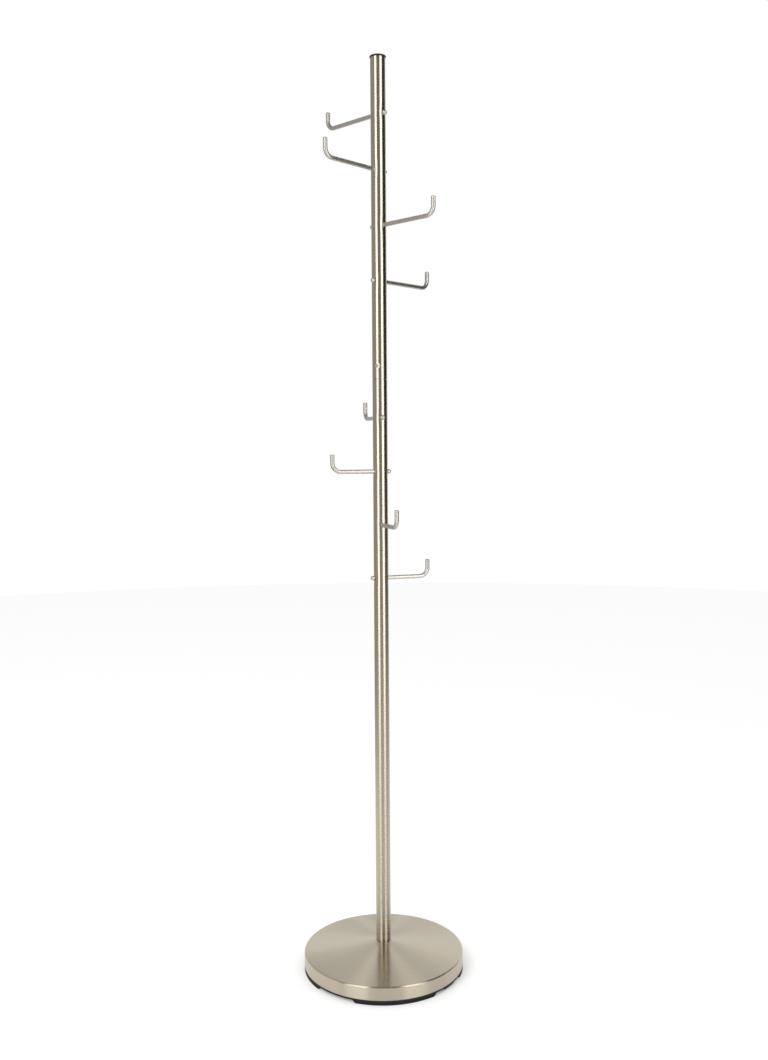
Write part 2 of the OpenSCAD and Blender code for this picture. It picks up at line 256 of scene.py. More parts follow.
# %% Plastic, rubber, iron and zinc
cap_plastic = finish_of(
    "cap_plastic", lambda t: stretched(t, (900, 900, 900)), (0.010, 0.0095, 0.009),
    (0.020, 0.019, 0.018), (0.34, 0.44), 0.01 * MM,
)[0]
tray_plastic = finish_of(
    "tray_plastic", lambda t: stretched(t, (1200, 1200, 1200)), (0.011, 0.0105, 0.010),
    (0.022, 0.021, 0.020), (0.46, 0.60), 0.02 * MM, Specular_IOR_Level=0.25,
)[0]
pad_rubber = finish_of(
    "pad_rubber", lambda t: stretched(t, (700, 700, 700)), (0.009, 0.009, 0.009),
    (0.018, 0.018, 0.018), (0.70, 0.85), 0.04 * MM, Specular_IOR_Level=0.25,
)[0]
cast_iron = finish_of(
    "cast_iron", lambda t: stretched(t, (350, 350, 350)), (0.030, 0.029, 0.028),
    (0.060, 0.058, 0.055), (0.60, 0.80), 0.25 * MM, Metallic=0.6,
)[0]
zinc_steel = finish_of(
    "zinc_steel", lambda t: stretched(t, (320, 320, 320)), (0.46, 0.47, 0.48),
    (0.62, 0.63, 0.62), (0.30, 0.45), 0.01 * MM, Metallic=1.0,
)[0]

CAD_FINISH = {
    "upper_insert": zinc_steel, "lower_insert": zinc_steel, "foot_insert": zinc_steel,
    "base_bolt": zinc_steel, "spring_washer": zinc_steel, "flat_washer": zinc_steel,
    "base_weight": cast_iron,
}
for node, material in CAD_FINISH.items():
    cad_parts[node].data.materials.clear()
    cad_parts[node].data.materials.append(material)
print("CAD nodes with a finish:", len(CAD_FINISH))

# %% [markdown]
# ## Turning outlines into solids
# Most of this object is round: tubes, caps, nuts, the cover and the tray are all an outline spun about
# an axis, as a lathe or a spinning chuck makes them. A Screw modifier could spin the outline too. Here
# a short function does it, because it can close the shape at the axis with one point and no seam.
# Sharp corners never look real, since even a crisp metal edge catches the light, so the outline's
# corners are given a radius each and are rounded before it is spun.


# %% A rounded outline, spun about Z
def rounded(corners, steps=5):
    """An outline of (radius, height) points from (radius, height, corner radius) corners."""
    points = []
    for k, (r, z, corner) in enumerate(corners):
        here = Vector((r, z))
        if corner == 0:
            points.append(here)
            continue
        back = (Vector(corners[k - 1][:2]) - here).normalized()
        ahead = (Vector(corners[(k + 1) % len(corners)][:2]) - here).normalized()
        half = back.angle(ahead) / 2
        centre = here + (back + ahead).normalized() * corner / math.sin(half)
        start = here + back * corner / math.tan(half) - centre
        end = here + ahead * corner / math.tan(half) - centre
        sweep = math.atan2(start.x * end.y - start.y * end.x, start.dot(end))
        for s in range(steps + 1):
            points.append(centre + Matrix.Rotation(sweep * s / steps, 2) @ start)
    return points


def spun(outline, sides):
    """(vertices, faces) of a closed outline spun about Z; points on the axis are single."""
    angles = [math.tau * k / sides for k in range(sides)]
    vertices, rings = [], []
    for r, z in outline:
        if r < 1e-9:
            rings.append([len(vertices)] * sides)
            vertices.append((0, 0, z))
        else:
            rings.append(list(range(len(vertices), len(vertices) + sides)))
            vertices += [(r * math.cos(a), r * math.sin(a), z) for a in angles]
    faces = []
    for j, ring in enumerate(rings):
        above = rings[(j + 1) % len(rings)]
        for k in range(sides):
            n = (k + 1) % sides
            corners = list(dict.fromkeys((ring[k], ring[n], above[n], above[k])))
            if len(corners) > 2:
                faces.append(corners)
    return vertices, faces


def new_object(name, vertices, faces):
    """A mesh object with its faces pointing outwards."""
    mesh = bpy.data.meshes.new(name)
    mesh.from_pydata(vertices, [], faces)
    shape = bmesh.new()
    shape.from_mesh(mesh)
    bmesh.ops.remove_doubles(shape, verts=shape.verts, dist=1e-7)
    bmesh.ops.recalc_face_normals(shape, faces=shape.faces)
    shape.to_mesh(mesh)
    shape.free()
    piece = bpy.data.objects.new(name, mesh)
    bpy.context.scene.collection.objects.link(piece)
    return piece


# %% [markdown]
# Three more helpers are used by every piece. The first turns an object with its modifiers into a plain
# mesh, because a finished piece keeps none. The second shades it: smooth faces, edges split where the
# surface turns by more than an angle, and normals weighted by face area, so that a broad flat face
# isn't bent by the small round beside it. The third gives a piece its finish and its body.


# %% Plain meshes, shading and riding
SHARP = math.radians(32)


def made_plain(piece):
    """Applies the object's modifiers, so that its mesh is plain."""
    graph = bpy.context.evaluated_depsgraph_get()
    plain = bpy.data.meshes.new_from_object(piece.evaluated_get(graph))
    piece.modifiers.clear()
    piece.data = plain
    plain.name = piece.name
    return piece


def shaded(piece, sharp=SHARP):
    """Smooth shading with sharp edges kept and flat faces left flat."""
    piece.data.shade_smooth()
    piece.data.set_sharp_from_angle(angle=sharp)
    weigh = piece.modifiers.new("weigh", "WEIGHTED_NORMAL")
    weigh.keep_sharp = True
    return made_plain(piece)


def placed(piece, body, nodes, material=None):
    """Gives a finished piece its material and its body, and hides the CAD nodes that it stands for."""
    if material is not None:
        piece.data.materials.clear()
        piece.data.materials.append(material)
    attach(piece, body)
    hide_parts(*nodes)
    print(piece.name, "rides on", body, "faces:", len(piece.data.polygons))
    return piece


def cut_by(piece, *cutters):
    """Takes the cutters' volume out of the piece, and removes them."""
    for cutter in cutters:
        boolean = piece.modifiers.new("cut", "BOOLEAN")
        boolean.object = cutter
        boolean.solver = "EXACT"
    made_plain(piece)
    for cutter in cutters:
        bpy.data.objects.remove(cutter)
    return piece


# %% [markdown]
# ## The two tubes
# Each tube is drilled where its hooks pass through, and squeezed there when the nuts are done up, so
# its wall dips a little round every hook and nut and the long streaks of light bend. A punch mark
# above and below the seam pins each tube to the insert inside it. A plain cylinder would miss all of
# that. So the tube is a grid wrapped round the axis: each point starts on the cylinder and is moved
# in by a soft dip and by the punch. Rows of points are close together only where the surface dips.
# The holes are then cut right through the wall.


# %% The tube's surface
TUBE_SIDES = 144
DIP = 0.45 * MM
DIP_HALF_HEIGHT = 9 * MM
DIP_HALF_WIDTH = 7 * MM
PUNCH_R = 9 * MM
PUNCH_DEPTH = 1.2 * MM
PUNCH_FROM_END = 24 * MM
PUNCH_EDGE = 0.12 * MM
PIN_R = 1.1 * MM
PIN_DEPTH = 0.5 * MM
EDGE_CHAMFER = 0.7 * MM
ROWS_NEAR = 26 * MM
ROW_FINE = 1.5 * MM
ROW_COARSE = 12 * MM
PUNCH_ROW = 0.5 * MM
PUNCH_ROWS = 14
TUBE_SHARP = math.radians(38)


def turned(angle, other):
    """The angle between two directions, from none to half a turn."""
    return abs((angle - other + math.pi) % math.tau - math.pi)


def dip_depth(angle, z, roots):
    """How far the wall is drawn in round the hooks and nuts."""
    depth = 0.0
    for root_z, direction in roots:
        for side in (direction, direction + math.pi):
            across = POLE_R * turned(angle, side) / DIP_HALF_WIDTH
            upright = (z - root_z) / DIP_HALF_HEIGHT
            depth += DIP * math.exp(-0.5 * (across * across + upright * upright))
    return depth


def punch_depth(angle, z, punches):
    """How far a round punch has pushed the wall in, with a small deeper mark in its middle."""
    depth = 0.0
    for punch_z, direction in punches:
        turn = turned(angle, direction)
        centre = POLE_R - PUNCH_DEPTH + PUNCH_R
        along = centre * math.cos(turn)
        inside = along * along - centre * centre - (z - punch_z) ** 2 + PUNCH_R * PUNCH_R
        if turn < 1 and inside > 0:
            pushed = POLE_R - (along - math.sqrt(inside))
            depth += (pushed + math.hypot(pushed, PUNCH_EDGE)) / 2
        away = math.hypot(POLE_R * turn, z - punch_z) / PIN_R
        depth += PIN_DEPTH * math.exp(-(away ** 4)) if turn < 1 else 0
    return depth


def rows_between(low, high, centres, near, fine, coarse):
    """Heights from low to high, close together near each centre."""
    heights, z = [low], low
    while z < high - coarse / 4:
        close = any(abs(z - c) < near for c in centres)
        reach = min([c - near - z for c in centres if c - near > z], default=coarse)
        z += fine if close else max(fine, min(coarse, reach))
        heights.append(min(z, high))
    if heights[-1] < high:
        heights.append(high)
    return heights


# %% [markdown]
# A hook's hole is the rod's size plus a hair, and the hole on the far side is the size of the thread.
# The cutters are short round bars that lie along each hook.


# %% Making a tube
ROD_HOLE_R = ROD_R + 0.1 * MM
THREAD_HOLE_R = 2.6 * MM
CUT_START = 2 * MM
CUT_PAST = 2 * MM


def bar(centre_z, direction, start, end, radius, sides=32):
    """A round bar that lies outwards from the axis in a direction, as a cutter."""
    vertices, faces = spun([(0, start), (radius, start), (radius, end), (0, end)], sides)
    piece = new_object("bar", vertices, faces)
    lie = Matrix.Rotation(direction, 4, "Z") @ Matrix.Rotation(math.pi / 2, 4, "Y")
    piece.data.transform(Matrix.Translation((0, 0, centre_z)) @ lie)
    return piece


def roots_of(rule):
    """(height, direction) of each hook of a helix."""
    return [
        (rule["First height"] - k * rule["Pitch"], rule["First direction"] + k * rule["Turn"])
        for k in range(HOOKS_EACH)
    ]


def tube(name, low, high, rule, punches):
    """A tube with chamfered ends, dips, punch marks and the holes for its hooks."""
    roots = roots_of(rule)
    heights = rows_between(
        low + EDGE_CHAMFER, high - EDGE_CHAMFER,
        [z for z, _ in roots + punches], ROWS_NEAR, ROW_FINE, ROW_COARSE,
    )
    steps = range(-PUNCH_ROWS, PUNCH_ROWS + 1)
    fine = {round(z + k * PUNCH_ROW, 6) for z, _ in punches for k in steps}
    heights = sorted(set(round(z, 6) for z in heights) | fine)
    skin = [(POLE_R - EDGE_CHAMFER, low)] + [(POLE_R, z) for z in heights]
    skin += [(POLE_R - EDGE_CHAMFER, high), (BORE_R, high), (BORE_R, low)]
    vertices, faces = spun(skin, TUBE_SIDES)
    moved = []
    for x, y, z in vertices:
        r, angle = math.hypot(x, y), math.atan2(y, x)
        if r > POLE_R - EDGE_CHAMFER / 2:
            r -= dip_depth(angle, z, roots) + punch_depth(angle, z, punches)
        moved.append((r * math.cos(angle), r * math.sin(angle), z))
    piece = new_object(name, moved, faces)
    start, out = CUT_START, POLE_R + CUT_PAST
    cutters = [bar(z, a, start, out, ROD_HOLE_R) for z, a in roots]
    cutters += [bar(z, a + math.pi, start, out, THREAD_HOLE_R, 16) for z, a in roots]
    return shaded(cut_by(piece, *cutters), TUBE_SHARP)


FRONT = -90
UPPER_PUNCH = math.radians(346 + FRONT)
LOWER_PUNCH = math.radians(170 + FRONT)
placed(
    tube("pole_upper_tube", SEAM_Z, TOP_Z, UPPER, [(SEAM_Z + PUNCH_FROM_END, UPPER_PUNCH)]),
    "upper_pole", ["upper_tube"], pole_nickel,
)
placed(
    tube("pole_lower_tube", SEAT_Z, SEAM_Z, LOWER, [
        (SEAT_Z + PUNCH_FROM_END, LOWER_PUNCH), (SEAM_Z - PUNCH_FROM_END, LOWER_PUNCH),
    ]),
    "stand", ["lower_tube"], pole_nickel,
)

# %% [markdown]
# ## The top cap
# A moulded plug closes the top of the pole. Its lip is a little wider than the tube, with a full round
# edge and a slight crown. The plug is hollow and has two grip rings that hold it in the bore. It is
# one outline, spun.

# %% Cap
LIP_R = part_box("top_cap")[1].x
CAP_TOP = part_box("top_cap")[1].z
PLUG_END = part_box("top_cap")[0].z
PLUG_R = BORE_R - 0.2 * MM
PLUG_IN = PLUG_R - 1.6 * MM
grip = [
    (PLUG_R, z, 0) if k in (0, 3) else (BORE_R - 0.05 * MM, z, 0)
    for base in (PLUG_END + 5 * MM, PLUG_END + 10 * MM)
    for k, z in enumerate((base, base + 0.3 * MM, base + 1.2 * MM, base + 1.5 * MM))
]
cap_outline = rounded([
    (0, CAP_TOP, 0), (0, TOP_Z + 1.2 * MM, 0), (PLUG_IN, TOP_Z + 1.2 * MM, 0.5 * MM),
    (PLUG_IN, PLUG_END, 0.3 * MM), (PLUG_R, PLUG_END, 0.4 * MM), *grip,
    (PLUG_R, TOP_Z, 0), (LIP_R, TOP_Z, 1.1 * MM), (LIP_R, TOP_Z + 2.7 * MM, 1.4 * MM),
    (POLE_R - 5 * MM, CAP_TOP, 0),
])
placed(
    shaded(new_object("top_cap_moulding", *spun(cap_outline, 96))),
    "upper_pole", ["top_cap"], cap_plastic,
)

# %% [markdown]
# ## The hooks, by rule
# All eight hooks are the same bent rod, longer on the upper tube, and they climb the pole like a
# spiral stair: one step down, one quarter turn. That is a job for Geometry Nodes. One tree bends a
# rod: four points make the centreline, Fillet Curve rounds the bend, and Curve to Mesh gives it its
# thickness and shrinks the last ring for the chamfer. A second tree repeats whatever comes in at
# stations round the pole, and is used again below for the nuts, the foot pads and the screws.


# %% Helpers for node trees
def new_tree(name, inputs):
    """A geometry tree with named inputs, as (tree, group input node)."""
    tree = bpy.data.node_groups.new(name, "GeometryNodeTree")
    kinds = {float: "NodeSocketFloat", int: "NodeSocketInt"}
    tree.interface.new_socket("Geometry", in_out="INPUT", socket_type="NodeSocketGeometry")
    for label, value in inputs.items():
        kind = "NodeSocketMaterial" if value is None else kinds[type(value)]
        made = tree.interface.new_socket(label, in_out="INPUT", socket_type=kind)
        if value is not None:
            made.default_value = value
    tree.interface.new_socket("Geometry", in_out="OUTPUT", socket_type="NodeSocketGeometry")
    return tree, tree.nodes.new("NodeGroupInput")


def feed(tree, socket, value):
    """Links a socket to an input, or sets the input to a plain value."""
    if isinstance(value, bpy.types.NodeSocket):
        tree.links.new(value, socket)
    else:
        socket.default_value = value


def calc(tree, operation, a, b=0.0):
    """A math node's result."""
    node = add(tree, "ShaderNodeMath", operation=operation)
    feed(tree, node.inputs[0], a)
    feed(tree, node.inputs[1], b)
    return node.outputs[0]


def point_of(tree, x=0.0, y=0.0, z=0.0):
    """A vector from three values."""
    node = add(tree, "ShaderNodeCombineXYZ")
    for socket, value in zip(node.inputs, (x, y, z)):
        feed(tree, socket, value)
    return node.outputs[0]


def last_steps(tree, geometry, material):
    """Ends a tree: instances become real, and the material is set."""
    real = add(tree, "GeometryNodeRealizeInstances")
    paint = add(tree, "GeometryNodeSetMaterial")
    out = tree.nodes.new("NodeGroupOutput")
    tree.links.new(geometry, real.inputs[0])
    tree.links.new(real.outputs[0], paint.inputs["Geometry"])
    tree.links.new(material, paint.inputs["Material"])
    tree.links.new(paint.outputs[0], out.inputs[0])


def by_rule(name, steps, start=None):
    """A plain mesh made by trees, each a (tree, {input: value}) pair, from a start mesh."""
    piece = bpy.data.objects.new(name, start or bpy.data.meshes.new(name))
    bpy.context.scene.collection.objects.link(piece)
    for tree, values in steps:
        modifier = piece.modifiers.new(tree.name, "NODES")
        modifier.node_group = tree
        for item in tree.interface.items_tree:
            if item.in_out == "INPUT" and item.name in values:
                modifier[item.identifier] = values[item.name]
    return made_plain(piece)


# %% The tree that bends a rod
def bent_rod_tree():
    """A rod along +X from its root, with one bend up to a chamfered tip."""
    tree, given = new_tree("bent_rod", {
        "Rod radius": 0.004, "Root": 0.0, "Reach": 0.1, "Bend radius": 0.016, "Tip top": 0.032,
        "Chamfer": 0.0008, "Bend steps": 20, "Sides": 32, "Material": None,
    })
    size = given.outputs
    line = add(tree, "GeometryNodeMeshLine", in_Count=4)
    index = add(tree, "GeometryNodeInputIndex").outputs[0]
    pick = add(tree, "GeometryNodeIndexSwitch", data_type="VECTOR")
    pick.index_switch_items.new()
    pick.index_switch_items.new()
    chamfer_z = calc(tree, "SUBTRACT", size["Tip top"], size["Chamfer"])
    places = [
        point_of(tree, size["Root"]), point_of(tree, size["Reach"]),
        point_of(tree, size["Reach"], 0.0, chamfer_z),
        point_of(tree, size["Reach"], 0.0, size["Tip top"]),
    ]
    tree.links.new(index, pick.inputs["Index"])
    for socket, place in zip(list(pick.inputs)[1:5], places):
        tree.links.new(place, socket)
    move = add(tree, "GeometryNodeSetPosition")
    tree.links.new(line.outputs[0], move.inputs["Geometry"])
    tree.links.new(pick.outputs[0], move.inputs["Position"])
    curve = add(tree, "GeometryNodeMeshToCurve")
    tree.links.new(move.outputs[0], curve.inputs["Mesh"])
    corner = add(tree, "FunctionNodeCompare", data_type="INT", operation="EQUAL")
    compared = [s for s in corner.inputs if s.type == "INT"]
    tree.links.new(index, compared[0])
    compared[1].default_value = 1
    bend = add(tree, "GeometryNodeFilletCurve", mode="POLY")
    tree.links.new(curve.outputs[0], bend.inputs["Curve"])
    feed(tree, bend.inputs["Radius"], calc(tree, "MULTIPLY", corner.outputs[0], size["Bend radius"]))
    feed(tree, bend.inputs["Count"], calc(tree, "MULTIPLY", corner.outputs[0], size["Bend steps"]))
    last = add(tree, "GeometryNodeCurveEndpointSelection", in_Start_Size=0, in_End_Size=1)
    smaller = calc(tree, "DIVIDE", size["Chamfer"], size["Rod radius"])
    shrink = calc(tree, "MULTIPLY", last.outputs[0], smaller)
    ring = add(tree, "GeometryNodeCurvePrimitiveCircle")
    feed(tree, ring.inputs["Radius"], size["Rod radius"])
    feed(tree, ring.inputs["Resolution"], size["Sides"])
    sweep = add(tree, "GeometryNodeCurveToMesh", in_Fill_Caps=True)
    tree.links.new(bend.outputs[0], sweep.inputs["Curve"])
    tree.links.new(ring.outputs[0], sweep.inputs["Profile Curve"])
    feed(tree, sweep.inputs["Scale"], calc(tree, "SUBTRACT", 1.0, shrink))
    weld = add(tree, "GeometryNodeMergeByDistance", in_Distance=1e-6)
    tree.links.new(sweep.outputs[0], weld.inputs["Geometry"])
    last_steps(tree, weld.outputs[0], size["Material"])
    return tree


# %% The tree that repeats a piece round the pole
def stations_tree():
    """Repeats what comes in at stations down and round the pole."""
    tree, given = new_tree("round_the_pole", {
        "Count": 4, "First height": 0.0, "Pitch": 0.0, "First direction": 0.0, "Turn": math.pi / 2,
        "Material": None,
    })
    size = given.outputs
    points = add(tree, "GeometryNodePoints")
    index = add(tree, "GeometryNodeInputIndex").outputs[0]
    down = calc(tree, "MULTIPLY", index, size["Pitch"])
    height = calc(tree, "SUBTRACT", size["First height"], down)
    turn = calc(tree, "ADD", size["First direction"], calc(tree, "MULTIPLY", index, size["Turn"]))
    facing = add(tree, "FunctionNodeEulerToRotation")
    copies = add(tree, "GeometryNodeInstanceOnPoints")
    feed(tree, points.inputs["Count"], size["Count"])
    feed(tree, points.inputs["Position"], point_of(tree, 0.0, 0.0, height))
    feed(tree, facing.inputs["Euler"], point_of(tree, 0.0, 0.0, turn))
    tree.links.new(points.outputs[0], copies.inputs["Points"])
    tree.links.new(size["Geometry"], copies.inputs["Instance"])
    tree.links.new(facing.outputs[0], copies.inputs["Rotation"])
    last_steps(tree, copies.outputs[0], size["Material"])
    return tree


bent_rod = bent_rod_tree()
round_the_pole = stations_tree()

# %% Hooks on both tubes
BEND_R = 16 * MM
TIP_CHAMFER = 0.8 * MM
ROD_ROOT = -9 * MM


def hooks(name, rule, body, first):
    """The four hooks of one tube."""
    shape = {
        "Rod radius": ROD_R, "Root": ROD_ROOT, "Reach": rule["Reach"], "Bend radius": BEND_R,
        "Tip top": TIP_TOP, "Chamfer": TIP_CHAMFER, "Material": hook_nickel,
    }
    piece = by_rule(name, [
        (bent_rod, shape), (round_the_pole, {**rule, "Count": HOOKS_EACH, "Material": hook_nickel}),
    ])
    return placed(
        shaded(piece), body, [f"hook_{first + k}" for k in range(HOOKS_EACH)]
    )


hooks("upper_hooks", UPPER, "upper_pole", 1)
hooks("lower_hooks", LOWER, "stand", HOOKS_EACH + 1)

# %% [markdown]
# ## The domed nuts
# A small domed nut closes each hook's threaded end. It has a narrow neck against the tube, a short
# skirt and a half-round dome. It is turned on a lathe, so its outline is spun once, laid along -X,
# which is the far side of a hook, and repeated by the same tree.

# %% Nuts on both tubes
NUT_NECK_R = NUT_R - 0.7 * MM
NUT_NECK = 0.5 * MM
NUT_SKIRT = 2.3 * MM
NUT_SEAT = POLE_R - DIP
DOME_STEPS = 10
DOME_FOOT = POLE_R + 0.05 * MM + NUT_SKIRT
nut_outline = [
    (0, NUT_SEAT), (NUT_NECK_R, NUT_SEAT), (NUT_NECK_R, POLE_R + NUT_NECK),
    (NUT_R - 0.15 * MM, POLE_R + NUT_NECK), (NUT_R, POLE_R + NUT_NECK + 0.2 * MM),
] + [
    (NUT_R * math.cos(a), DOME_FOOT + NUT_R * math.sin(a))
    for a in (math.pi / 2 * k / DOME_STEPS for k in range(DOME_STEPS))
] + [(0, DOME_FOOT + NUT_R)]
nut = new_object("nut", *spun(nut_outline, 40))
nut.data.transform(Matrix.Rotation(-math.pi / 2, 4, "Y"))


def nuts(name, rule, body, first):
    """The four nuts of one tube."""
    piece = by_rule(
        name, [(round_the_pole, {**rule, "Count": HOOKS_EACH, "Material": hook_nickel})], nut.data.copy()
    )
    return placed(
        shaded(piece), body, [f"cap_nut_{first + k}" for k in range(HOOKS_EACH)]
    )


nuts("upper_cap_nuts", UPPER, "upper_pole", 1)
nuts("lower_cap_nuts", LOWER, "stand", HOOKS_EACH + 1)
bpy.data.objects.remove(nut)

# %% [markdown]
# ## The joiner stud
# The upper tube screws onto a stud, and a little of its thread shows when the tube is backed off. A
# screw thread is a rule: the surface's radius is a zigzag of the height minus the turn. So a third
# tree takes a finely divided cylinder and moves each point in by that zigzag, and more at both ends
# for the lead-in.


# %% The tree that cuts a thread
def thread_tree():
    """A threaded rod that stands on z = 0, with tapered ends."""
    tree, given = new_tree("threaded_rod", {
        "Radius": 0.006, "Length": 0.05, "Pitch": 0.00175, "Depth": 0.001, "Taper": 0.001,
        "Rows": 230, "Sides": 48, "Material": None,
    })
    size = given.outputs
    rod = add(tree, "GeometryNodeMeshCylinder")
    for socket, value in (
        ("Vertices", "Sides"), ("Side Segments", "Rows"), ("Radius", "Radius"), ("Depth", "Length")
    ):
        feed(tree, rod.inputs[socket], size[value])
    split = add(tree, "ShaderNodeSeparateXYZ")
    tree.links.new(add(tree, "GeometryNodeInputPosition").outputs[0], split.inputs[0])
    x, y, z = split.outputs
    turn = calc(tree, "DIVIDE", calc(tree, "ARCTAN2", y, x), math.tau)
    phase = calc(tree, "SUBTRACT", calc(tree, "DIVIDE", z, size["Pitch"]), turn)
    groove = calc(tree, "MULTIPLY", calc(tree, "PINGPONG", phase, 0.5), 2.0)
    half = calc(tree, "DIVIDE", size["Length"], 2.0)
    to_end = calc(tree, "SUBTRACT", half, calc(tree, "ABSOLUTE", z))
    taper = calc(tree, "MAXIMUM", calc(tree, "SUBTRACT", size["Taper"], to_end), 0.0)
    cut = calc(tree, "MAXIMUM", calc(tree, "MULTIPLY", groove, size["Depth"]), taper)
    factor = calc(tree, "SUBTRACT", 1.0, calc(tree, "DIVIDE", cut, size["Radius"]))
    place = point_of(
        tree, calc(tree, "MULTIPLY", x, factor), calc(tree, "MULTIPLY", y, factor),
        calc(tree, "ADD", z, half),
    )
    move = add(tree, "GeometryNodeSetPosition")
    tree.links.new(rod.outputs["Mesh"], move.inputs["Geometry"])
    tree.links.new(place, move.inputs["Position"])
    last_steps(tree, move.outputs[0], size["Material"])
    return tree


# %% Stud
THREAD_PITCH = 1.75 * MM
stud_low, stud_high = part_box("joiner_stud")
stud = by_rule("joiner_threaded_stud", [(thread_tree(), {
    "Radius": stud_high.x, "Length": stud_high.z - stud_low.z, "Pitch": THREAD_PITCH,
    "Material": zinc_steel,
})])
stud.data.transform(Matrix.Translation((0, 0, stud_low.z)))
placed(shaded(stud, math.radians(50)), "joiner", ["joiner_stud"])

# %% [markdown]
# ## The base cover
# The cover is one disc of sheet, spun over a former: a small flat seat under the pole, a shallow cone,
# a rounded edge and an upright band whose lower edge is turned in a little. A sheet has two sides and
# a thickness, so the outline runs down the outside and back up the inside. The rounded edge is the
# part that shows most, because it mirrors the whole room in a line a few millimetres wide.

# %% Cover
SHEET = 0.8 * MM
EDGE_R = 3 * MM
RIM_Z = 34 * MM
SEAT_R = POLE_R + 1 * MM
BOLT_HOLE_R = 5.1 * MM
HEM = 0.35 * MM
COVER_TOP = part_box("base_cover")[1].z
cover_outline = rounded([
    (BOLT_HOLE_R, COVER_TOP, 0), (BOLT_HOLE_R, COVER_TOP - SHEET, 0),
    (SEAT_R, COVER_TOP - SHEET, 2 * MM), (BASE_R - SHEET, RIM_Z - SHEET, EDGE_R - SHEET),
    (BASE_R - SHEET, BAND_Z, 0.1 * MM), (BASE_R, BAND_Z, HEM), (BASE_R, RIM_Z, EDGE_R),
    (SEAT_R, COVER_TOP, 2 * MM),
], 10)
placed(
    shaded(new_object("base_cover_spun", *spun(cover_outline, 384))),
    "stand", ["base_cover"], cover_nickel,
)

# %% [markdown]
# ## The tray and its screws
# A moulded tray closes the base from below. Its lip shows as a thin black line under the cover, and a
# small lug stands down from it between two pads. The screws are pan heads with a cross recess, cut
# from the spun head by a cross-shaped bar, and repeated by the same tree as the hooks.

# %% Tray
TRAY_FLOOR = 2.2 * MM
TRAY_WALL_R = BASE_R - SHEET - 0.3 * MM
TRAY_WALL = 2 * MM
TRAY_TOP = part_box("base_tray")[1].z
WRENCH_HOLE_R = 17.8 * MM
LUG_INSET = 0.5 * MM
LUG_W = 6.5 * MM
LUG_MIDDLE = math.radians(53 + FRONT)
LUG_SWEEP = math.radians(12)
PEG_R = 3 * MM
tray_outline = rounded([
    (WRENCH_HOLE_R, PAD_H, 0.3 * MM), (BASE_R, PAD_H, 0.6 * MM), (BASE_R, BAND_Z, 0.2 * MM),
    (TRAY_WALL_R, BAND_Z, 0), (TRAY_WALL_R, TRAY_TOP, 0.3 * MM),
    (TRAY_WALL_R - TRAY_WALL, TRAY_TOP, 0.3 * MM),
    (TRAY_WALL_R - TRAY_WALL, PAD_H + TRAY_FLOOR, 0.5 * MM),
    (WRENCH_HOLE_R, PAD_H + TRAY_FLOOR, 0.3 * MM),
], 4)


def arc_bar(name, section, sweep, steps, lean=0.0):
    """A closed (radius, height) section swept round Z about +X; its ends lean in below its top."""
    top = max(z for _, z in section)
    middle_r = sum(r for r, _ in section) / len(section)
    vertices = []
    for s in range(steps + 1):
        for r, z in section:
            half = sweep / 2 - lean * (top - z) / middle_r
            angle = half * (2 * s / steps - 1)
            vertices.append((r * math.cos(angle), r * math.sin(angle), z))
    n = len(section)
    faces = [list(range(n)), [steps * n + k for k in reversed(range(n))]]
    for s in range(steps):
        for k in range(n):
            a, b = s * n + k, s * n + (k + 1) % n
            faces.append([a, b, b + n, a + n])
    return new_object(name, vertices, faces)


tray = new_object("base_tray_moulding", *spun(tray_outline, 256))
lug_low, lug_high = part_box("base_tray")[0].z, PAD_H + TRAY_FLOOR / 2
lug_out, lug_in = BASE_R - LUG_INSET, BASE_R - LUG_INSET - LUG_W
lug = arc_bar("lug", rounded([
    (lug_in, lug_low, 0.4 * MM), (lug_out, lug_low, 0.4 * MM),
    (lug_out, lug_high, 0), (lug_in, lug_high, 0),
], 3), LUG_SWEEP, 10)
lug.data.transform(Matrix.Rotation(LUG_MIDDLE, 4, "Z"))
join = tray.modifiers.new("join", "BOOLEAN")
join.operation, join.object, join.solver = "UNION", lug, "EXACT"
made_plain(tray)
bpy.data.objects.remove(lug)
placed(shaded(tray), "stand", ["base_tray"], tray_plastic)

# %% Screws
SCREW_CIRCLE_R = 70 * MM
SCREW_R = 1.9 * MM
SCREW_TIP = 10 * MM
HEAD_R = 4 * MM
HEAD_H = 2.4 * MM
SLOT_W = 1.1 * MM
SLOT_DEPTH = 1.3 * MM
head_z = PAD_H - HEAD_H
screw_outline = rounded([
    (0, head_z, 0), (HEAD_R, head_z, 1.5 * MM), (HEAD_R, PAD_H, 0.1 * MM), (SCREW_R, PAD_H, 0),
    (SCREW_R, PAD_H + SCREW_TIP - 2 * MM, 0), (0.3 * MM, PAD_H + SCREW_TIP, 0),
    (0, PAD_H + SCREW_TIP, 0),
], 6)
screw = new_object("screw", *spun(screw_outline, 32))


def cross_cutter():
    """An upright bar with a cross section, that reaches into the screw's head from below."""
    w, far = SLOT_W / 2, 2.2 * MM
    arm = [(far, -w), (far, w), (w, w)]
    around = []
    for _ in range(4):
        around += arm
        arm = [(-y, x) for x, y in arm]
    n = len(around)
    vertices = [(x, y, head_z + z) for z in (-1 * MM, SLOT_DEPTH) for x, y in around]
    faces = [list(range(n)), list(range(n, 2 * n))]
    faces += [(k, (k + 1) % n, n + (k + 1) % n, n + k) for k in range(n)]
    return new_object("cross", vertices, faces)


cut_by(screw, cross_cutter())
screw.data.transform(Matrix.Translation((SCREW_CIRCLE_R, 0, 0)))
screws = by_rule("tray_pan_screws", [(round_the_pole, {
    "Count": 4, "First direction": math.pi / 4, "Material": zinc_steel,
})], screw.data.copy())
placed(shaded(screws), "stand", ["tray_screws"])
bpy.data.objects.remove(screw)

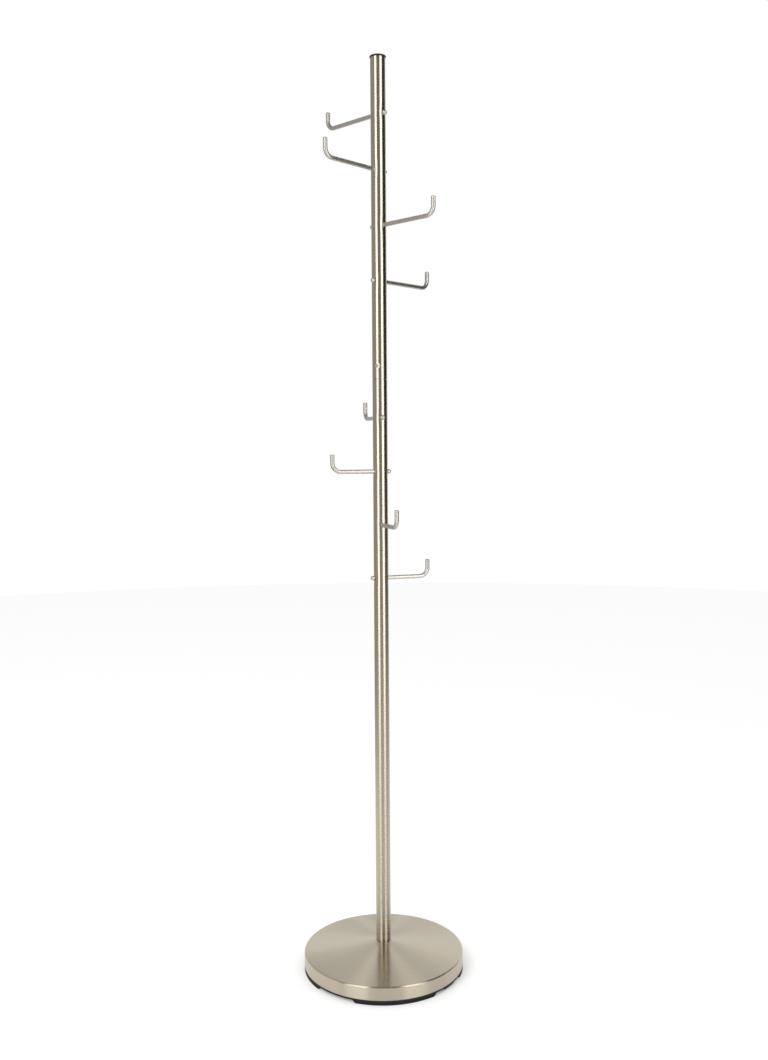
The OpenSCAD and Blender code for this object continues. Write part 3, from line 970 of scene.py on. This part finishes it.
# %% [markdown]
# ## The foot pads
# Four curved rubber pads lift the rim off the floor. Each is a bar with rounded lower edges, bent to
# the rim, with ends that lean in towards the floor, and two pegs that push into the tray. One pad is
# swept by a loop, and the tree sets four of them round the base.

# %% Pads
PAD_W = 14 * MM
PAD_SWEEP = math.radians(61)
PAD_MIDDLE = math.radians(8.5 + FRONT)
PAD_ROUND = 1.0 * MM
pad = arc_bar("pad", rounded([
    (BASE_R - PAD_W, 0, PAD_ROUND), (BASE_R, 0, PAD_ROUND), (BASE_R, PAD_H, 0.3 * MM),
    (BASE_R - PAD_W, PAD_H, 0.3 * MM),
], 4), PAD_SWEEP, 40, lean=1.0)
peg_parts = []
for side in (-1, 1):
    peg = new_object("peg", *spun(rounded([
        (0, PAD_H - PAD_ROUND, 0), (PEG_R, PAD_H - PAD_ROUND, 0), (PEG_R, PAD_H + PEG_H, 0.5 * MM),
        (0, PAD_H + PEG_H, 0),
    ], 3), 24))
    peg.data.transform(
        Matrix.Rotation(side * PAD_SWEEP / 3, 4, "Z")
        @ Matrix.Translation((BASE_R - PAD_W / 2 - 1 * MM, 0, 0))
    )
    peg_parts.append(peg)
for peg in peg_parts:
    joined = pad.modifiers.new("join", "BOOLEAN")
    joined.operation, joined.object, joined.solver = "UNION", peg, "EXACT"
made_plain(pad)
for peg in peg_parts:
    bpy.data.objects.remove(peg)
pads = by_rule("foot_pads", [(round_the_pole, {
    "Count": 4, "First direction": PAD_MIDDLE, "Material": pad_rubber,
})], pad.data.copy())
placed(shaded(pads), "stand", [f"foot_pad_{k}" for k in range(1, 5)])
bpy.data.objects.remove(pad)

# %% [markdown]
# ## The studio
# Polished metal has almost no colour of its own: it shows the room. So the room is built as a
# photographer builds it, with a pale floor, an even light all round, and tall panels that only the
# metal sees. Two bright panels stand in front, to the left and the right, and draw the two white
# streaks down the pole. Between them is the dim end of the room, to the left a grey panel, and on
# the right a black one, which gives the pole its dark edge. A dim ceiling darkens the cover's edge.

# %% Panels for the metal to reflect
def glow(name, level):
    """A plain emission material of that level."""
    material = bpy.data.materials.new(name)
    material.use_nodes = True
    tree = material.node_tree
    tree.nodes.clear()
    light = add(tree, "ShaderNodeEmission", in_Strength=1.0, in_Color=(level, level, level, 1))
    out = add(tree, "ShaderNodeOutputMaterial")
    tree.links.new(light.outputs[0], out.inputs["Surface"])
    return material


def only_reflected(piece):
    """Sets a stage piece's ray visibility, so that the metal sees it, and it neither lights, shades nor
    shows.
    """
    piece.visible_camera = False
    piece.visible_diffuse = False
    piece.visible_shadow = False
    piece.visible_transmission = False
    return piece


def panel(name, start, end, low, high, distance, level):
    """An upright panel, curved round the pole from one direction to another (0 is the front)."""
    steps = max(2, int(abs(end - start) / 3))
    vertices = []
    for k in range(steps + 1):
        a = math.radians(start + (end - start) * k / steps)
        x, y = distance * math.sin(a), -distance * math.cos(a)
        vertices += [(x, y, low), (x, y, high)]
    faces = [(2 * k, 2 * k + 2, 2 * k + 3, 2 * k + 1) for k in range(steps)]
    mesh = bpy.data.meshes.new(name)
    mesh.from_pydata(vertices, [], faces)
    mesh.materials.append(glow(name, level))
    piece = bpy.data.objects.new(name, mesh)
    bpy.context.scene.collection.objects.link(piece)
    return only_reflected(piece)


def ceiling(name, height, radius, level):
    """A round, level panel over the object."""
    mesh = bpy.data.meshes.new(name)
    around = [math.tau * k / 48 for k in range(48)]
    rim = [(radius * math.cos(a), radius * math.sin(a), height) for a in around]
    mesh.from_pydata(rim, [], [range(len(rim))])
    mesh.materials.append(glow(name, level))
    piece = bpy.data.objects.new(name, mesh)
    bpy.context.scene.collection.objects.link(piece)
    return only_reflected(piece)


SOFTBOX = 3.0
panel("left_softbox", -52, -22, 0.22, 3.0, 1.6, SOFTBOX)
panel("right_softbox", 28, 59, 0.22, 3.0, 1.6, SOFTBOX)
panel("room_front", -60, 90, 0.0, 3.2, 1.9, 0.2)
panel("left_grey", -150, -50, 0.25, 2.4, 0.6, 0.45)
panel("right_black", 70, 128, 0.3, 2.6, 1.15, 0.03)
ceiling("room_ceiling", 3.2, 1.6, 0.25)


# %% Floor and world
def white_where_seen(tree, lit, level):
    """Adds a plain white of that level to a shader, for the camera, metal and glass only."""
    path = add(tree, "ShaderNodeLightPath")
    either = calc(tree, "MAXIMUM", path.outputs["Is Camera Ray"], path.outputs["Is Glossy Ray"])
    seen = calc(tree, "MAXIMUM", either, path.outputs["Is Transmission Ray"])
    white = add(tree, "ShaderNodeEmission")
    feed(tree, white.inputs["Strength"], calc(tree, "MULTIPLY", seen, level))
    both = add(tree, "ShaderNodeAddShader")
    tree.links.new(lit, both.inputs[0])
    tree.links.new(white.outputs[0], both.inputs[1])
    return both.outputs[0]


FLOOR_R = 6.0
FLOOR_COLOUR = 0.8
ROOM_LIGHT = 0.85
FLOOR_LIFT = 0.27
floor_mesh = bpy.data.meshes.new("floor")
floor_mesh.from_pydata(
    [(FLOOR_R * math.cos(a), FLOOR_R * math.sin(a), 0) for a in (math.tau * k / 64 for k in range(64))],
    [], [list(range(64))],
)
floor = bpy.data.objects.new("floor", floor_mesh)
bpy.context.scene.collection.objects.link(floor)
floor_paint = bpy.data.materials.new("floor_paint")
floor_paint.use_nodes = True
floor_tree = floor_paint.node_tree
floor_tree.nodes.clear()
matt = add(floor_tree, "ShaderNodeBsdfDiffuse", in_Color=(FLOOR_COLOUR, FLOOR_COLOUR, FLOOR_COLOUR, 1))
floor_out = add(floor_tree, "ShaderNodeOutputMaterial")
floor_tree.links.new(
    white_where_seen(floor_tree, matt.outputs[0], FLOOR_LIFT), floor_out.inputs["Surface"]
)
floor_mesh.materials.append(floor_paint)

world = bpy.data.worlds.new("studio")
bpy.context.scene.world = world
world.use_nodes = True
sky = world.node_tree
sky.nodes.clear()
room = add(sky, "ShaderNodeBackground", in_Strength=ROOM_LIGHT)
room.inputs["Color"].default_value = (1, 1, 1, 1)
backdrop = add(sky, "ShaderNodeBackground", in_Strength=1.0)
backdrop.inputs["Color"].default_value = (1, 1, 1, 1)
ray = add(sky, "ShaderNodeLightPath")
seen_ray = calc(
    sky, "MAXIMUM", calc(sky, "MAXIMUM", ray.outputs["Is Camera Ray"], ray.outputs["Is Glossy Ray"]),
    ray.outputs["Is Transmission Ray"],
)
choose = add(sky, "ShaderNodeMixShader")
sky_out = add(sky, "ShaderNodeOutputWorld")
sky.links.new(seen_ray, choose.inputs["Fac"])
sky.links.new(room.outputs[0], choose.inputs[1])
sky.links.new(backdrop.outputs[0], choose.inputs[2])
sky.links.new(choose.outputs[0], sky_out.inputs["Surface"])

# %% Key light
KEY_SIZE = 1.6
KEY_POWER = 40
KEY_AT = Vector((-1.8, -2.2, 3.2))
KEY_AIM = Vector((0, 0, 0.6))
key_data = bpy.data.lights.new("key_light", "AREA")
key_data.shape = "DISK"
key_data.size = KEY_SIZE
key_data.energy = KEY_POWER
key = bpy.data.objects.new("key_light", key_data)
bpy.context.scene.collection.objects.link(key)
key.location = KEY_AT
key.rotation_mode = "QUATERNION"
key.rotation_quaternion = (KEY_AIM - KEY_AT).to_track_quat("-Z", "Y")
key.visible_camera = False
key.visible_glossy = False

# %% [markdown]
# ## The camera
# The camera stands a little under two metres away, at about waist height, and looks slightly down, so
# the pole is seen from the side, the base from above and the highest hooks from below. It is turned
# a little about its own line of sight, which leans the pole's top to the left.

# %% Camera
CAMERA_AT = Vector((0, -1.977, 0.990))
CAMERA_LENS = 35.85
CAMERA_YAW = math.radians(0.171)
CAMERA_PITCH = math.radians(4.217)
CAMERA_ROLL = math.radians(0.377)
ahead = Vector((
    math.sin(CAMERA_YAW) * math.cos(CAMERA_PITCH),
    math.cos(CAMERA_YAW) * math.cos(CAMERA_PITCH),
    -math.sin(CAMERA_PITCH),
))
level_right = Vector((math.cos(CAMERA_YAW), -math.sin(CAMERA_YAW), 0))
level_up = level_right.cross(ahead)
right = level_right * math.cos(CAMERA_ROLL) - level_up * math.sin(CAMERA_ROLL)
up = level_up * math.cos(CAMERA_ROLL) + level_right * math.sin(CAMERA_ROLL)
camera_data = bpy.data.cameras.new("camera")
camera_data.sensor_width = 36
camera_data.lens = CAMERA_LENS
camera_data.clip_start, camera_data.clip_end = 0.05, 50
camera = bpy.data.objects.new("camera", camera_data)
bpy.context.scene.collection.objects.link(camera)
camera.matrix_world = Matrix.Translation(CAMERA_AT) @ Matrix((right, up, -ahead)).transposed().to_4x4()
bpy.context.scene.camera = camera
bpy.context.scene.view_settings.view_transform = "Standard"
